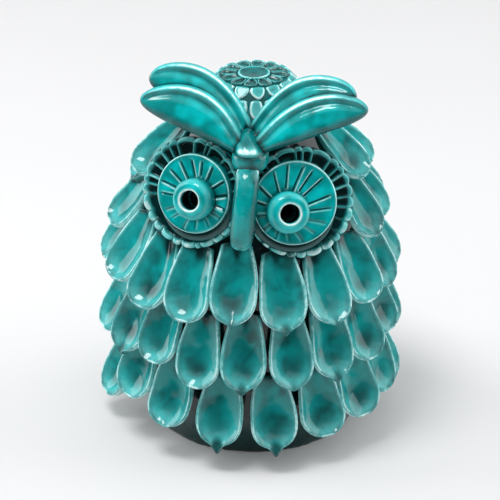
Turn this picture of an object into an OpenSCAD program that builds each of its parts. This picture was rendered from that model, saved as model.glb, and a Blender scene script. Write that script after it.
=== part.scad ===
// Owl coin bank: a hollow glazed earthenware body built up with separate clay pieces.
// The owl faces -Y and stands on z = 0, with its left and right named as seen from the front.
// Lengths are millimetres and angles are degrees.

/* [Body] */
// Radius of the foot ring
foot_r = 53; // [51:0.5:55]
// Radius of the body at its widest
belly_r = 61; // [59:0.5:62]
// Thickness of the body wall
wall = 6; // [5:0.5:7]
// Height of the flat top of the crown
crown_top = 189; // [188.5:0.5:190]

/* [Money] */
// Width of the coin slot in the back of the head
slot_w = 40; // [36:1:42]
// Height of the coin slot
slot_h = 5; // [4.5:0.5:6]
// Height of the middle of the slot above the foot
slot_z = 167.5; // [167:0.5:169]
// Radius of the hole in the base
hole_r = 17; // [15:0.5:18]
// Gap all round between the stopper and its hole
stopper_gap = 0.08; // [0.02:0.01:0.1]

/* [Feathers] */
// Length share of every feather, 1 for the drawn size
feather_scale = 1; // [0.9:0.05:1.05]
// Thickness of a feather
feather_thick = 5; // [4:0.5:6]
// How far a feather's sides curl up past its middle
feather_cup = 4.4; // [3:0.2:5]

/* [Face] */
// Radius of the striped plate round each pupil
iris_r = 20; // [19:0.5:20.5]
// Thickness of that plate
iris_thick = 4.5; // [4:0.5:5]
// Radius of each pupil
pupil_r = 10.6; // [10:0.2:11]
// How far a pupil stands out from its plate
pupil_proud = 9; // [7:0.5:10]
// Radius of the hole through each pupil
pupil_hole_r = 4.8; // [4:0.2:5.2]
// Outer radius of each eye socket
socket_r = 27.2; // [26.8:0.2:28]

/* [Hidden] */
glaze = [0.0, 0.55, 0.54];
pale_glaze = [0.25, 0.72, 0.72];
rubber = [0.16, 0.14, 0.13];
clay = [0.78, 0.62, 0.48];

// ---- Body of revolution ----

foot_h = 5;
base_plate_h = 6;
// Outer outline of the body, [radius, height] from the foot to the top of the head
OUTLINE = [
    [foot_r, 0], [foot_r + 3, 12], [foot_r + 6, 30], [belly_r, 55], [belly_r - 1, 85], [56, 110],
    [51, 130], [47, 143], [42, 154.5], [36, 164], [30, 171.5], [24.5, 178], [20, 182], [12, 185], [0, 186],
];
// The hollow follows the outline one wall further in
HOLLOW = [
    [foot_r - wall, -1], [foot_r - wall, 1], [foot_r + 3 - wall, 12], [foot_r + 6 - wall, 30],
    [belly_r - wall, 55], [belly_r - 1 - wall, 85], [56 - wall, 109], [51 - wall, 128],
    [47 - wall, 140], [42 - wall, 150.5], [36 - wall, 159], [30 - wall, 166], [24.5 - wall, 171.5],
    [14, 175], [6, 178], [0, 179],
];
function body_r(z) = lookup(z, [for (p = OUTLINE) [p[1], p[0]]]);

module body_solid() {
    rotate_extrude($fn = 96) polygon(concat([[0, 0]], OUTLINE));
}

// ---- Helpers ----

function unit(v) = v / norm(v);
// A point from its angle round the body (0 is the front, positive towards +X), radius and height
function at(angle, r, z) = [r * sin(angle), -r * cos(angle), z];
// A repeatable number from -1 to 1 for feather i, one stream for each k
function vary(i, k) = 2 * rands(0, 1, 1, 17 * i + 131 * k)[0] - 1;

// One solid skin for each list of rings; a ring's points run round the shape, and both ends close on a point
module skins(solids, sides) {
    rings = len(solids[0]) - 2;
    per_solid = rings * sides + 2;
    points = [for (s = solids) each concat([s[0]], [for (k = [1 : rings]) each s[k]], [s[rings + 1]])];
    faces = [
        for (n = [0 : len(solids) - 1])
            let (first = n * per_solid, last = first + per_solid - 1)
            each concat(
                [for (k = [0 : sides - 1]) [first, first + 1 + k, first + 1 + (k + 1) % sides]],
                [for (r = [0 : rings - 2], k = [0 : sides - 1])
                    let (a = first + 1 + r * sides, b = a + sides, m = (k + 1) % sides)
                    each [[a + k, b + k, b + m], [a + k, b + m, a + m]]],
                [for (k = [0 : sides - 1])
                    let (a = last - sides) [a + k, last, a + (k + 1) % sides]]
            ),
    ];
    polyhedron(points = points, faces = faces, convexity = 10);
}

// Half width of a leaf at share u of its length, as a share of its largest half width
function leaf_width(u, widest, root_share, point) = u < widest
    ? root_share + (1 - root_share) * sin(90 * u / widest)
    : pow(max(0, 1 - pow((u - widest) / (1 - widest), 2)), point);
// Rings of a pressed clay leaf from its root to its tip, whose hollow side looks along face.
// bow bends the leaf towards its right and curl lifts its tip, both in millimetres.
function leaf(root, tip, face, width, thick, cup,
              bow = 0, curl = 0, widest = 0.62, root_share = 0.5, point = 0.6, sides = 8,
              stations = [0.02, 0.14, 0.3, 0.48, 0.64, 0.8, 0.91, 0.975]) =
    let (
        length = norm(tip - root),
        along = (tip - root) / length,
        across = unit(cross(along, face)),
        out = cross(across, along),
        middle = function(u)
            root + along * u * length + across * bow * 4 * u * (1 - u) + out * curl * (u * u - u)
    )
    concat(
        [middle(0)],
        [for (u = stations)
            let (w = leaf_width(u, widest, root_share, point), rise = min(1, 1.25 * w))
            [for (k = [0 : sides - 1])
                let (t = -360 * k / sides)
                middle(u) + across * (width / 2 * w * cos(t))
                    + out * (thick / 2 * rise * sin(t) + cup * w * (pow(cos(t), 2) - 0.5))]],
        [middle(1) - out * cup * 0.15]
    );

// ---- Body pieces ----

module body_shell() {
    color(glaze) difference() {
        body_solid();
        rotate_extrude($fn = 96) polygon(concat([[0, -1]], HOLLOW));
        translate([-slot_w / 2, 0, slot_z - slot_h / 2]) cube([slot_w, 60, slot_h]);
        for (side = [-1, 1]) pupil_bore(side);
    }
}

module base_plate() {
    inner_r = foot_r - wall;
    slope = 3 / 12;
    color(clay) translate([0, 0, foot_h]) difference() {
        cylinder(r = inner_r + slope * (foot_h - 1.5), h = base_plate_h, $fn = 96);
        translate([0, 0, -1]) cylinder(r = hole_r, h = base_plate_h + 2, $fn = 96);
    }
}

stopper_flange_r = hole_r + 3;
stopper_flange_h = 2.5;
module stopper() {
    plug_h = base_plate_h + 5;
    plug_r = hole_r - stopper_gap;
    color(rubber) translate([0, 0, foot_h - stopper_flange_h]) rotate_extrude($fn = 96) polygon([
        [0, 0.8], [stopper_flange_r - 3, 0.8], [stopper_flange_r - 2.2, 0],
        [stopper_flange_r - 0.6, 0], [stopper_flange_r, 0.6], [stopper_flange_r, stopper_flange_h - 0.2],
        [plug_r, stopper_flange_h - 0.2], [plug_r, plug_h], [plug_r - 1, plug_h + 1],
        [0, plug_h + 1],
    ]);
}

// A cross bar to pull the stopper by, in the dish under it
module stopper_grip() {
    bar = [18, 3, 1.4];
    color(rubber) translate([-bar[0] / 2, -bar[1] / 2, foot_h - stopper_flange_h - 0.6]) cube(bar);
}

// ---- Crown ----

module crown_cap() {
    color(glaze) difference() {
        rotate_extrude($fn = 96) polygon([
            [0, 175], [27.5, 175], [24.5, 179.5], [22, 184], [19.8, crown_top - 1.4],
            [17.5, crown_top], [0, crown_top],
        ]);
        body_solid();
    }
}

button_r = 8.2;
module crown_button() {
    color(pale_glaze) translate([0, 0, crown_top]) rotate_extrude($fn = 64) polygon([
        [0, 0], [button_r, 0], [button_r, 1.2], [button_r - 0.6, 1.8], [button_r - 1.4, 1.2], [0, 0.8],
    ]);
}

top_petals = 12;
// Petals lying flat round the button, hollow side up
module crown_top_petals() {
    color(glaze) skins([for (i = [0 : top_petals - 1])
        let (a = i * 360 / top_petals)
        leaf(at(a, button_r + 0.3, crown_top + 0.5), at(a, 16.9, crown_top + 0.4), [0, 0, 1],
             6.8, 1.6, 0.9, widest = 0.7, root_share = 0.5, point = 0.5, sides = 6,
             stations = [0.03, 0.4, 0.72, 0.93])], 6);
}

rim_petals = 15;
// Pointed petals folded over the edge of the crown
module crown_rim_petals() {
    color(glaze) skins([for (i = [0 : rim_petals - 1])
        let (a = (i + 0.5) * 360 / rim_petals)
        leaf(at(a, 17.4, crown_top + 0.2), at(a, 22.4, crown_top - 4.6), at(a, 0.8, 0.75),
             7.6, 2.2, -0.4, widest = 0.3, root_share = 0.8, point = 1, sides = 6,
             stations = [0.04, 0.3, 0.6, 0.88])], 6);
}

skirt_petals = 20;
// Upright oval petals standing round the side of the crown
module crown_skirt_petals() {
    color(glaze) skins([for (i = [0 : skirt_petals - 1])
        let (a = (i + 0.5) * 360 / skirt_petals)
        leaf(at(a, 21.8, crown_top - 4.8), at(a, 26.6, crown_top - 13.5), at(a, 0.85, 0.5),
             6.9, 2.8, -0.6, widest = 0.5, root_share = 0.7, point = 0.5, sides = 6,
             stations = [0.04, 0.28, 0.6, 0.88])], 6);
}

// ---- Beak ----

// Rings of a roll of clay: each station is [x, y, z, half width, half depth], and the roll runs down the face
function roll(stations, sides) = concat(
    [[stations[0][0], stations[0][1], stations[0][2] + stations[0][4] * 0.4]],
    [for (s = stations) [for (k = [0 : sides - 1])
        let (t = 360 * k / sides) [s[0] + s[3] * cos(t), s[1] - s[4] * sin(t), s[2]]]],
    [let (s = stations[len(stations) - 1]) [s[0], s[1], s[2] - s[4] * 0.3]]
);

module beak_bridge() {
    color(glaze) skins([roll([
        [2, -47, 177.6, 2, 2.5], [2.1, -47, 176.2, 3.8, 6], [2.3, -47, 173.7, 4.6, 8.5],
        [2.8, -47.5, 171.3, 5.6, 10], [3.4, -48, 169.5, 8.8, 11.5], [3.8, -48.5, 167.5, 9.5, 12],
        [3.8, -48.5, 163, 9.3, 12], [3.8, -48, 160.8, 8, 10.5],
    ], 12)], 12);
}

module beak() {
    color(glaze) skins([roll([
        [3.6, -57.5, 163.5, 5.2, 4], [3.6, -60, 161, 6.2, 5.4], [3.4, -63, 155, 6.3, 6.2],
        [3, -65.5, 147.5, 6.2, 6.3], [2.4, -67, 140, 6.3, 6.2], [1.8, -67.5, 133, 6.3, 6],
        [1.4, -67, 127.5, 6, 5.4], [1.1, -66.2, 124, 4.6, 4],
    ], 12)], 12);
}

// ---- Brows ----

module brow_lower_left() {
    color(glaze) skins([leaf([-2.5, -51.5, 167], [-50.4, -43.5, 196], [-0.1, -0.87, 0.48],
        22.5, 7, 2.6, bow = 5.6, curl = 2, widest = 0.52, root_share = 0.3, point = 0.58,
        sides = 10)], 10);
}
module brow_lower_right() {
    color(glaze) skins([leaf([7.5, -51.5, 167], [60.6, -42.5, 191.5], [0.1, -0.88, 0.48],
        21.5, 7, 2.6, bow = -5.4, curl = 2, widest = 0.56, root_share = 0.3, point = 0.58,
        sides = 10)], 10);
}
module brow_upper_left() {
    color(glaze) skins([leaf([0.5, -42.5, 168.3], [-45.5, -34.5, 205.8], [-0.1, -0.82, 0.56],
        20.5, 6.5, 2.2, bow = 6.2, curl = 2, widest = 0.6, root_share = 0.35, point = 0.42,
        sides = 10)], 10);
}
module brow_upper_right() {
    color(glaze) skins([leaf([4.5, -42.5, 168.3], [53.5, -34.5, 200.3], [0.1, -0.82, 0.56],
        20.5, 6.5, 2.2, bow = -6.6, curl = 2, widest = 0.6, root_share = 0.35, point = 0.45,
        sides = 10)], 10);
}

// ---- Eyes ----

// Middle of each eye's front plane: [x, y, z, turn round the body, tilt up, size share of the plate,
//                                   pupil's shift towards the beak, pupil's shift down]
EYE_LEFT = [-24.7, -51.3, 145.2, -20, 15, 1, 2.6, 1.8];
EYE_RIGHT = [26.4, -51, 142.6, 18, 15, 1.06, 4.6, 3.6];
// The socket is set out and down from the plate, and its face is this far behind the plate's
socket_out = 3.4;
socket_drop = 1.6;
socket_back = 8;
// A slumped disc under the plate shows as a step below it; it is set in and down from the plate
disc_in = 0.4;
disc_drop = 4.2;

function eye(side) = side < 0 ? EYE_LEFT : EYE_RIGHT;
module eye_frame(side) {
    e = eye(side);
    translate([e[0], e[1], e[2]]) rotate([0, 0, e[3]]) rotate([90 - e[4], 0, 0]) children();
}
module pupil_frame(side) {
    translate([-side * eye(side)[6], -eye(side)[7], 0]) children();
}
module disc_frame(side) {
    translate([-side * disc_in, -disc_drop, 0]) children();
}
module socket_frame(side) {
    translate([side * socket_out, -socket_drop, -socket_back]) children();
}
function plate_r(side) = iris_r * eye(side)[5];
// The two sockets stop short of each other here, behind the beak
meet_x = 0.8;
meet_gap = 0.1;
module beyond_meeting(side) {
    reach = 80;
    translate([meet_x + side * meet_gap - (side < 0 ? 0 : reach), -reach, reach])
        cube([reach, 2 * reach, 2 * reach]);
}
module pupil_bore(side) {
    eye_frame(side) pupil_frame(side) translate([0, 0, -30]) cylinder(r = pupil_hole_r, h = 60, $fn = 48);
}

// A round pad that meets the round of the head, with a step and a disc that carry the plate
module eye_socket(side) {
    step_h = socket_back - iris_thick;
    color(glaze) difference() {
        union() {
            eye_frame(side) socket_frame(side) rotate_extrude($fn = 96) polygon([
                [0, -28], [socket_r - 5, -28], [socket_r - 0.5, -5], [socket_r, -3], [socket_r, 0], [0, 0],
            ]);
            eye_frame(side) translate([0, 0, -socket_back - 1])
                cylinder(r = plate_r(side) - 0.6, h = step_h + 1, $fn = 96);
            eye_frame(side) disc_frame(side) translate([0, 0, -socket_back - 1])
                cylinder(r = plate_r(side), h = step_h + 1, $fn = 96);
        }
        body_solid();
        beyond_meeting(side);
        pupil_bore(side);
    }
}

cell_count = 26;
cell_wall = 1;
rim_thick = 2.2;
rim_gap = 0.15;
rim_h = 3.2;
// The raised edge of a socket with thin walls that divide the ring into small cells
module socket_rim(side) {
    color(pale_glaze) difference() {
        eye_frame(side) socket_frame(side) {
            rotate_extrude($fn = 96) polygon([
                [socket_r - rim_thick, 0], [socket_r, 0], [socket_r, rim_h - 0.8], [socket_r - 0.7, rim_h],
                [socket_r - rim_thick + 0.6, rim_h], [socket_r - rim_thick, rim_h - 0.6],
            ]);
            for (i = [0 : cell_count - 1]) rotate([0, 0, (i + 0.5) * 360 / cell_count])
                translate([plate_r(side) - 5, -cell_wall / 2, 0])
                    cube([socket_r - rim_thick + 0.4 - plate_r(side) + 5, cell_wall, rim_h - 0.9]);
        }
        eye_frame(side) translate([0, 0, -socket_back - 1]) {
            cylinder(r = plate_r(side) + rim_gap, h = 12, $fn = 96);
            disc_frame(side) cylinder(r = plate_r(side) + rim_gap, h = 12, $fn = 96);
        }
        beyond_meeting(side);
    }
}

iris_notches = 17;
module iris(side) {
    r = plate_r(side);
    color(pale_glaze) eye_frame(side) difference() {
        translate([0, 0, -iris_thick]) rotate_extrude($fn = 96) polygon([
            [0, 0], [r - 0.8, 0], [r, 0.8], [r, iris_thick - 1.2], [r - 1.2, iris_thick], [0, iris_thick],
        ]);
        pupil_frame(side) translate([0, 0, -10]) cylinder(r = pupil_hole_r, h = 20, $fn = 48);
        for (i = [0 : iris_notches - 1]) rotate([0, 0, (i + 0.5) * 360 / iris_notches])
            translate([r - 8, 0, -1.1]) rotate([45, 0, 0]) cube([6.4, 1.6, 1.6]);
    }
}

module pupil(side) {
    color(glaze) eye_frame(side) pupil_frame(side) rotate_extrude($fn = 64) polygon([
        [pupil_hole_r, 0], [pupil_r, 0], [pupil_r, pupil_proud - 3.4], [pupil_r - 0.8, pupil_proud - 1.4],
        [pupil_r - 2.6, pupil_proud - 0.3], [pupil_r - 4, pupil_proud],
        [pupil_hole_r + 0.6, pupil_proud - 0.4],
        [pupil_hole_r, pupil_proud - 1.2],
    ]);
}

module eye_socket_left() { eye_socket(-1); }
module eye_socket_right() { eye_socket(1); }
module socket_rim_left() { socket_rim(-1); }
module socket_rim_right() { socket_rim(1); }
module iris_left() { iris(-1); }
module iris_right() { iris(1); }
module pupil_left() { pupil(-1); }
module pupil_right() { pupil(1); }

// ---- Feathers ----

// The feathers of each row that show from the front, going round towards +X:
// [angle round the body, height of the tip, how far the tip stands out past its row]
FRONT_1 = [[-76, 13, 4], [-53, 26, 1], [-31, 20, 0], [-8, 16, 0], [15, 15, 0], [36, 17, 0], [56, 20, 0],
           [77, 22, -1.5]];
FRONT_2 = [[-78, 50, 3.5], [-57, 51, 1], [-37, 54, 0], [-17.5, 47, 0], [2, 49, 0], [22, 49, 0], [41, 50, 0],
           [60, 51, 0], [79, 55, -2]];
FRONT_3 = [[-86, 87, 3.5], [-65, 87, 1], [-44, 82, 0], [-23, 83, 0], [-2, 86, 0], [19, 82, 0], [40, 81, 0],
           [60, 84, -0.5], [80, 82, -2]];
FRONT_4 = [[72, 114, -2], [92, 115, -2.5], [113, 116, -1]];
FRONT_5 = [[76, 144, 0], [99, 141, 0]];
// The last feathers of the two top rows, which show past the left eye
SIDE_4 = [[276, 107, 3.5]];
SIDE_5 = [[264, 127, 4], [289, 143, 1.5]];
// Each row: [front feathers, side feathers, how many more between them round the back,
//            height of those tips, tip radius, rise from tip to root, widest allowed]
ROWS = [
    [FRONT_1, [], 9, 18, 76.5, 36, 24],
    [FRONT_2, [], 9, 50, 77, 37, 24],
    [FRONT_3, [], 8, 84, 75.3, 33, 25],
    [FRONT_4, SIDE_4, 7, 114, 71, 29, 23.5],
    [FRONT_5, SIDE_5, 6, 137, 61, 25, 21],
];
// How far the middle of a feather's root stands out from the wall it is pressed on
root_lift = 1.2;
// How far the feathers at the sides turn their hollow faces towards the front
face_turn = 12;
// Share of a feather's length at which it is widest
feather_widest = 0.64;

// Turn from one angle to the next going round towards +X
function turn(a, b) = (b - a + 720) % 360;
// Every feather of a row as [angle, tip height, extra reach]
function row_places(r) =
    let (
        front = r[0], side = r[1],
        from = front[len(front) - 1][0],
        to = len(side) > 0 ? side[0][0] : front[0][0] + 360,
        step = (to - from) / (r[2] + 1),
        back = [for (k = [1 : r[2]])
            [from + k * step + 1.2 * vary(k, 1), r[3] + 1.6 * vary(k, 2), 0.8 * vary(k, 3)]]
    )
    concat(front, back, side);

module feather_row(row) {
    r = ROWS[row - 1];
    places = row_places(r);
    n = len(places);
    color(glaze) skins([for (i = [0 : n - 1])
        let (
            a = places[i][0], z = places[i][1],
            tip_r = r[4] + places[i][2],
            rise = r[5] * feather_scale,
            gap = min(turn(a, places[(i + 1) % n][0]), turn(places[(i + n - 1) % n][0], a)),
            root_r = body_r(z + rise) + root_lift,
            widest_r = root_r + feather_widest * (tip_r - root_r),
            width = min(r[6], widest_r * sin(gap) - 0.8) * min(1, feather_scale)
        )
        leaf(at(a + vary(i, row + 20), root_r, z + rise), at(a, tip_r, z),
             at(a - face_turn * sin(a), 1, 0.25),
             width, feather_thick, feather_cup, curl = 3, widest = feather_widest,
             root_share = 0.62, point = 0.52)], 8);
}
module feather_row_1() { feather_row(1); }
module feather_row_2() { feather_row(2); }
module feather_row_3() { feather_row(3); }
module feather_row_4() { feather_row(4); }
module feather_row_5() { feather_row(5); }

body_shell();
base_plate();
stopper();
stopper_grip();
crown_cap();
crown_button();
crown_top_petals();
crown_rim_petals();
crown_skirt_petals();
beak_bridge();
beak();
brow_lower_left();
brow_lower_right();
brow_upper_left();
brow_upper_right();
eye_socket_left();
eye_socket_right();
socket_rim_left();
socket_rim_right();
iris_left();
iris_right();
pupil_left();
pupil_right();
feather_row_1();
feather_row_2();
feather_row_3();
feather_row_4();
feather_row_5();
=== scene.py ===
import math

import bmesh
import bpy
import numpy as np
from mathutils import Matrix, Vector, noise
from mathutils.bvhtree import BVHTree


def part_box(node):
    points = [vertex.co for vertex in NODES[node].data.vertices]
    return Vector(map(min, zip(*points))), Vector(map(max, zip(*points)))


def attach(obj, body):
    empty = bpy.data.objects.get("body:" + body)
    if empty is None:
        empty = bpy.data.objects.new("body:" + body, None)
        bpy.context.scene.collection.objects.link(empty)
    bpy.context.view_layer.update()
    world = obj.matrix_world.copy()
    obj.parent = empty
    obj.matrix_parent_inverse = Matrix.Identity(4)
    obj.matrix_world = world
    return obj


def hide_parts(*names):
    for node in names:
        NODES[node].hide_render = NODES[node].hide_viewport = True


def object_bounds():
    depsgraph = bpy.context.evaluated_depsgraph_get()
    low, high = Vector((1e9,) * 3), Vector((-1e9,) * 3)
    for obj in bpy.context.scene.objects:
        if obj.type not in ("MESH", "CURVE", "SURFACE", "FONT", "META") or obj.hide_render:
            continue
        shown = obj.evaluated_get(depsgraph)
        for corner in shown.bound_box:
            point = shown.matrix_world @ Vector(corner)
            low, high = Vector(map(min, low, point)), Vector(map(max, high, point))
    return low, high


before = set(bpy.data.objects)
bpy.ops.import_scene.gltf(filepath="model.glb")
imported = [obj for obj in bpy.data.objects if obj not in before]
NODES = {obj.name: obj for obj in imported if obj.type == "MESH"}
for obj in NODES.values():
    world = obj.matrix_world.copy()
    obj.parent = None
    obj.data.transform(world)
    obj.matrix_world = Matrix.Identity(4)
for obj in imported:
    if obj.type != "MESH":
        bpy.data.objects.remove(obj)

MM = 0.001
CAD_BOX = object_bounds()


# ---------------------------------------------------------------- small helpers

def smooth_step(low, high, x):
    t = np.clip((np.asarray(x, float) - low) / (high - low), 0.0, 1.0)
    return t * t * (3.0 - 2.0 * t)


def unit(v):
    v = np.asarray(v, float)
    return v / np.linalg.norm(v)


def draws(seed):
    """The repeatable random numbers of one piece."""
    return np.random.default_rng(seed)


def ripple(points, size, seed):
    """Smooth noise from -1 to 1 at each point; size is the width of a lump in metres."""
    shift = Vector((seed * 7.31, seed * 3.17, seed * 5.93))
    return np.array([noise.noise(Vector(p) / size + shift) for p in points])


def welded(obj):
    """A CAD node's corner points and triangles with shared corners."""
    mesh = obj.data
    corners = np.array([v.co for v in mesh.vertices], float)
    keys = np.round(corners / (0.004 * MM)).astype(np.int64)
    _, first, index = np.unique(keys, axis=0, return_index=True, return_inverse=True)
    index = index.reshape(-1)
    mesh.calc_loop_triangles()
    tris = np.array([index[list(t.vertices)] for t in mesh.loop_triangles])
    good = (tris[:, 0] != tris[:, 1]) & (tris[:, 1] != tris[:, 2]) & (tris[:, 0] != tris[:, 2])
    return corners[first], tris[good]


def loose_parts(name):
    """The corner points of each separate solid in a CAD node, as a list of arrays."""
    points, tris = welded(NODES[name])
    label = np.arange(len(points))
    while True:
        low = label[tris].min(axis=1)
        before = label.copy()
        for corner in range(3):
            np.minimum.at(label, tris[:, corner], low)
        label = label[label]
        if (label == before).all():
            break
    return [points[label == k] for k in np.unique(label)]


def add_piece(name, points, faces, material, replaces):
    """Makes a mesh, puts it on its CAD body and hides the CAD nodes that it stands for."""
    mesh = bpy.data.meshes.new(name)
    mesh.from_pydata([tuple(p) for p in points], [], [tuple(int(i) for i in f) for f in faces])
    mesh.update()
    mesh.polygons.foreach_set("use_smooth", [True] * len(mesh.polygons))
    obj = bpy.data.objects.new(name, mesh)
    bpy.context.scene.collection.objects.link(obj)
    mesh.materials.append(material)
    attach(obj, "bank")
    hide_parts(*replaces)
    return obj


def tube_faces(loops, steps):
    """The quads between each loop of points and the next."""
    faces = []
    for a in range(0, (loops - 1) * steps, steps):
        for k in range(steps):
            m = (k + 1) % steps
            faces.append((a + k, a + m, a + steps + m, a + steps + k))
    return faces


def round_about(steps):
    """Evenly spaced angles all the way round, and the direction that each points in."""
    t = np.arange(steps) * 2 * math.pi / steps
    return t, np.stack([np.cos(t), np.sin(t)], axis=1)


def each_step(values, steps):
    """One value for each loop, repeated for all the points of the loop."""
    return np.repeat(np.asarray(values)[:, None], steps, axis=1)


def set_values(obj, **values):
    """Stores one number for each point under each given name."""
    for key, numbers in values.items():
        layer = obj.data.attributes.new(key, "FLOAT", "POINT")
        layer.data.foreach_set("value", np.clip(np.asarray(numbers, np.float32), 0.0, 1.0))


def read_values(obj, key):
    numbers = np.zeros(len(obj.data.vertices), np.float32)
    obj.data.attributes[key].data.foreach_get("value", numbers)
    return numbers


def read_vectors(mesh, key):
    """A mesh's point places (key "co") or normals (key "normal"), one row for each point."""
    flat = np.zeros(len(mesh.vertices) * 3)
    mesh.vertices.foreach_get(key, flat)
    return flat.reshape(-1, 3)


def read_points(mesh):
    return read_vectors(mesh, "co")


# ---------------------------------------------------------------- materials

def linear(r, g, b):
    """A colour given as 0 to 255 on screen, as the shader wants it."""
    def one(c):
        c = c / 255.0
        return c / 12.92 if c <= 0.04045 else ((c + 0.055) / 1.055) ** 2.4
    return (one(r), one(g), one(b), 1.0)


class Graph:
    """A short way to build a material's nodes."""

    def __init__(self, name):
        self.material = bpy.data.materials.new(name)
        self.material.use_nodes = True
        self.tree = self.material.node_tree
        self.shader = self.tree.nodes["Principled BSDF"]

    def link(self, source, target):
        self.tree.links.new(source, target)

    def value(self, name):
        node = self.tree.nodes.new("ShaderNodeAttribute")
        node.attribute_name = name
        return node.outputs["Fac"]

    def place(self):
        return self.tree.nodes.new("ShaderNodeTexCoord").outputs["Object"]

    def noise(self, size, detail=3.0, rough=0.55, warp=0.0):
        node = self.tree.nodes.new("ShaderNodeTexNoise")
        node.inputs["Scale"].default_value = 1.0 / size
        node.inputs["Detail"].default_value = detail
        node.inputs["Roughness"].default_value = rough
        node.inputs["Distortion"].default_value = warp
        self.link(self.place(), node.inputs["Vector"])
        return node.outputs["Fac"]

    def cells(self, size):
        node = self.tree.nodes.new("ShaderNodeTexVoronoi")
        node.inputs["Scale"].default_value = 1.0 / size
        self.link(self.place(), node.inputs["Vector"])
        return node.outputs["Distance"]

    def span(self, source, low, high, out_low=0.0, out_high=1.0):
        node = self.tree.nodes.new("ShaderNodeMapRange")
        node.interpolation_type = "SMOOTHSTEP"
        numbers = {"From Min": low, "From Max": high, "To Min": out_low, "To Max": out_high}
        for socket, number in numbers.items():
            node.inputs[socket].default_value = number
        self.link(source, node.inputs["Value"])
        return node.outputs["Result"]

    def math(self, operation, a, b):
        node = self.tree.nodes.new("ShaderNodeMath")
        node.operation = operation
        node.use_clamp = True
        for socket, source in zip(node.inputs, (a, b)):
            if isinstance(source, (int, float)):
                socket.default_value = source
            else:
                self.link(source, socket)
        return node.outputs[0]

    def mix(self, share, a, b):
        node = self.tree.nodes.new("ShaderNodeMix")
        node.data_type = "RGBA"
        self.link(share, node.inputs["Factor"])
        for socket, source in ((node.inputs[6], a), (node.inputs[7], b)):
            if isinstance(source, tuple):
                socket.default_value = source
            else:
                self.link(source, socket)
        return node.outputs[2]

    def bump(self, height, distance, strength=1.0, below=None):
        node = self.tree.nodes.new("ShaderNodeBump")
        node.inputs["Strength"].default_value = strength
        node.inputs["Distance"].default_value = distance
        self.link(height, node.inputs["Height"])
        if below is not None:
            self.link(below, node.inputs["Normal"])
        return node.outputs["Normal"]


TEAL = linear(0, 150, 149)
TEAL_BRIGHT = linear(0, 206, 208)
TEAL_DEEP = linear(0, 78, 77)
# Pooled glaze, and painted shade in creases, hollows and under edges
TEAL_POOLED_AND_SHADE = linear(0, 26, 29)
# Thin glaze over edges, and painted highlights
CYAN_THIN_AND_HIGHLIGHT = linear(128, 244, 244)
# Clay showing through the thinnest glaze, and the whitest painted highlights
CLAY_THROUGH_AND_HIGHLIGHT = linear(238, 252, 250)


def glaze_material(name, paler=0.0):
    """Deep glossy teal glaze: dark where it pools and where shade is painted, pale where it runs thin over
    an edge and where a highlight is painted.
    """
    g = Graph(name)
    cloud = g.span(g.noise(0.013, 2.0, 0.5, 0.5), 0.4, 0.72)
    streak = g.span(g.noise(0.0075, 1.0, 0.4), 0.35, 0.8)
    pool = g.value("pool")
    thin = g.value("thin")
    break_and_highlight = g.math("MULTIPLY", thin, g.span(g.noise(0.0022, 3.0), 0.2, 0.6, 0.7, 1.0))
    colour = g.mix(g.math("MULTIPLY", cloud, 0.95 - 1.05 * paler), TEAL, TEAL_DEEP)
    colour = g.mix(g.math("MULTIPLY", streak, 0.25 + paler), colour, TEAL_BRIGHT)
    # Darker where the glaze pools and where shade is painted
    colour = g.mix(pool, colour, TEAL_POOLED_AND_SHADE)
    # Paler where the glaze runs thin and where a highlight is painted
    colour = g.mix(break_and_highlight, colour, CYAN_THIN_AND_HIGHLIGHT)
    colour = g.mix(g.span(break_and_highlight, 0.5, 0.9, 0.0, 0.85), colour, CLAY_THROUGH_AND_HIGHLIGHT)
    g.link(colour, g.shader.inputs["Base Color"])
    g.link(g.span(g.noise(0.006), 0.3, 0.8, 0.06, 0.12), g.shader.inputs["Roughness"])
    g.shader.inputs["IOR"].default_value = 1.46
    waves = g.bump(g.noise(0.0055, 2.0, 0.4), 0.3 * MM, 0.3)
    pits = g.span(g.cells(0.0032), 0.04, 0.11)
    g.link(g.bump(pits, 0.12 * MM, 0.3, waves), g.shader.inputs["Normal"])
    return g.material


def clay_material():
    """Bare fired earthenware with fine grog and a few glaze stains."""
    g = Graph("bare_clay")
    speck = g.span(g.cells(0.0011), 0.1, 0.35)
    cloud = g.span(g.noise(0.014, 4.0), 0.35, 0.7)
    colour = g.mix(cloud, linear(176, 132, 98), linear(204, 164, 128))
    colour = g.mix(g.math("MULTIPLY", g.math("SUBTRACT", 1.0, speck), 0.5), colour, linear(112, 78, 56))
    g.link(colour, g.shader.inputs["Base Color"])
    g.link(g.span(cloud, 0.0, 1.0, 0.78, 0.92), g.shader.inputs["Roughness"])
    grain = g.bump(g.noise(0.0009, 3.0, 0.7), 0.2 * MM, 0.6)
    g.link(g.bump(g.cells(0.0024), 0.2 * MM, 0.3, grain), g.shader.inputs["Normal"])
    return g.material


def rubber_material():
    """Dark moulded rubber with a dusty bloom."""
    g = Graph("stopper_rubber")
    bloom = g.span(g.noise(0.006, 4.0), 0.4, 0.75)
    colour = g.mix(bloom, linear(38, 36, 35), linear(66, 62, 59))
    g.link(colour, g.shader.inputs["Base Color"])
    g.link(g.span(bloom, 0.0, 1.0, 0.55, 0.75), g.shader.inputs["Roughness"])
    g.link(g.bump(g.noise(0.0006, 2.0), 0.05 * MM, 0.5), g.shader.inputs["Normal"])
    return g.material


GLAZE = glaze_material("glaze")
# A paler, less mottled copy of the glaze for the brows, plates and beads, which face the lamps: painted
# light
GLAZE_PAINTED_LIT = glaze_material("glaze_light", paler=0.7)
CLAY = clay_material()
RUBBER = rubber_material()


# ---------------------------------------------------------------- leaves: feathers, brows, petals

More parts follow.
